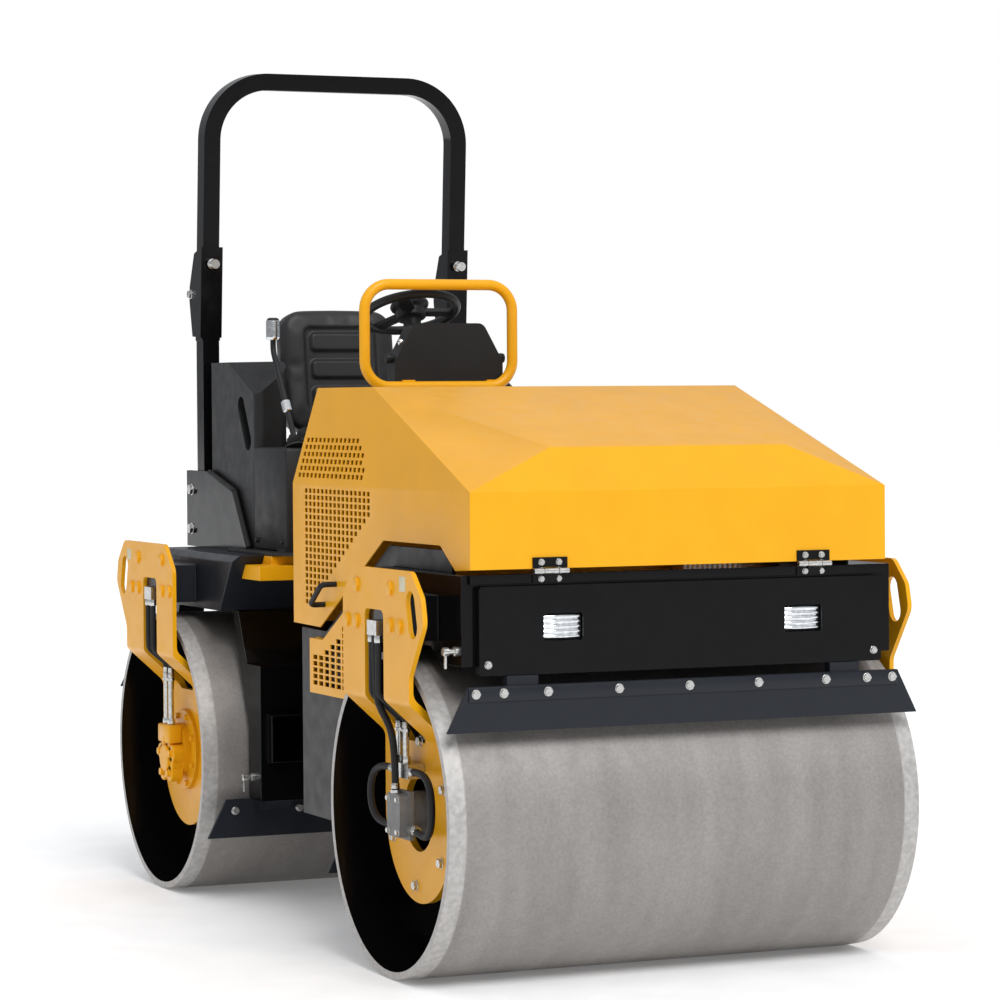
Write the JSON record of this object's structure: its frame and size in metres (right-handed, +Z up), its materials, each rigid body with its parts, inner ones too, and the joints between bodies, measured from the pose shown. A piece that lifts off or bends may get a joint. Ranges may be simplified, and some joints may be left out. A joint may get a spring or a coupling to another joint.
{
  "type": "tandem road roller",
  "caption": "Articulated ride-on road roller with smooth steel drums front and rear, tilting hood, open operator's place and folding roll-over bar.",
  "frame": {"origin": "on the ground below the articulation pin, halfway between the two drum axles and on the middle plane", "axes": "+X forward, +Y to the machine's left, +Z up"},
  "size_m": [2.914, 1.48, 2.663],
  "materials": {
    "yellow_paint": "glossy yellow enamel",
    "black_paint": "glossy black enamel",
    "grey_paint": "dark grey enamel",
    "drum_steel": "bare rolled steel, mottled",
    "bright_steel": "zinc plated or chromed",
    "cast_metal": "painted casting",
    "hose_rubber": "matt black rubber",
    "black_plastic": "satin moulded black",
    "seat_vinyl": "black vinyl",
    "lamp_glass": "ribbed lens"
  },
  "bodies": {
    "rear_body": {"rear_frame": "black_paint", "rear_bulkhead": "black_paint", "rear_hitch": "black_paint", "rear_yokes": "yellow_paint", "rear_carrier": "black_paint", "rear_vibration_motor": "cast_metal", "rear_drive_motor": "yellow_paint", "rear_scrapers": "black_paint", "rear_pipes": "bright_steel", "rear_hoses": "hose_rubber", "floor_plate": "grey_paint", "foot_steps": "yellow_paint", "side_tanks": "black_plastic", "seat_base": "black_paint", "seat": "seat_vinyl", "travel_lever": "black_plastic", "console": "black_plastic", "handrail": "yellow_paint", "roll_bar_posts": "black_paint"},
    "knuckle_body": {"centre_knuckle": "black_paint"},
    "front_body": {"front_frame": "black_paint", "front_bulkhead": "black_paint", "bay_side_plates": "grey_paint", "engine_block": "cast_metal", "front_tank": "black_paint", "headlights": "lamp_glass", "vent_covers": "yellow_paint", "front_scrapers": "black_paint", "front_yokes": "yellow_paint", "front_carrier": "black_paint", "front_vibration_motor": "cast_metal", "front_drive_motor": "yellow_paint", "front_pipes": "bright_steel", "front_hoses": "hose_rubber", "hinge_bases": "bright_steel"},
    "front_roll": {"front_drum": "drum_steel", "front_drive_plate": "black_paint"},
    "rear_roll": {"rear_drum": "drum_steel", "rear_drive_plate": "black_paint"},
    "hood_body": {"hood": "yellow_paint", "hood_grilles": "yellow_paint", "hood_handles": "black_paint", "hinge_leaves": "bright_steel"},
    "bar_body": {"roll_bar": "black_paint"},
    "wheel_body": {"steering_wheel": "black_plastic"},
    "barrel_body": {"steering_barrel": "black_paint"},
    "rod_body": {"steering_rod": "bright_steel"}
  },
  "joints": [
    {"name": "steer", "type": "hinge", "parent": "rear_body", "child": "knuckle_body", "pos_m": [0, 0, 0.52], "axis": [0, 0, 1], "range_deg": [-30, 30]},
    {"name": "oscillate", "type": "hinge", "parent": "knuckle_body", "child": "front_body", "pos_m": [0, 0, 0.52], "axis": [1, 0, 0], "range_deg": [-8, 8]},
    {"name": "front_drum_turn", "type": "hinge", "parent": "front_body", "child": "front_roll", "pos_m": [1.012, 0, 0.445], "axis": [0, 1, 0], "continuous": true},
    {"name": "rear_drum_turn", "type": "hinge", "parent": "rear_body", "child": "rear_roll", "pos_m": [-1.012, 0, 0.445], "axis": [0, 1, 0], "continuous": true},
    {"name": "hood_tilt", "type": "hinge", "parent": "front_body", "child": "hood_body", "pos_m": [1.424, 0, 1.117], "axis": [0, 1, 0], "range_deg": [0, 60]},
    {"name": "bar_fold", "type": "hinge", "parent": "rear_body", "child": "bar_body", "pos_m": [-1.33487, 0, 1.92891], "axis": [0, -1, 0], "range_deg": [0, 95]},
    {"name": "wheel_turn", "type": "hinge", "parent": "rear_body", "child": "wheel_body", "pos_m": [-0.335, -0.088, 1.845], "axis": [-0.3746, 0, 0.9272], "continuous": true},
    {"name": "cylinder_swing", "type": "hinge", "parent": "rear_body", "child": "barrel_body", "pos_m": [-0.39, 0.262, 0.52], "axis": [0, 0, 1], "range_deg": [-2, 2]},
    {"name": "cylinder_slide", "type": "slide", "parent": "barrel_body", "child": "rod_body", "axis": [0.9863, -0.1651, 0], "range_m": [-0.1, 0.1]}
  ],
  "couplings": [
    {"joint": "cylinder_swing", "follows": "steer", "ratio": 0.0185},
    {"joint": "cylinder_slide", "follows": "steer", "m_per_rad": -0.1854}
  ]
}
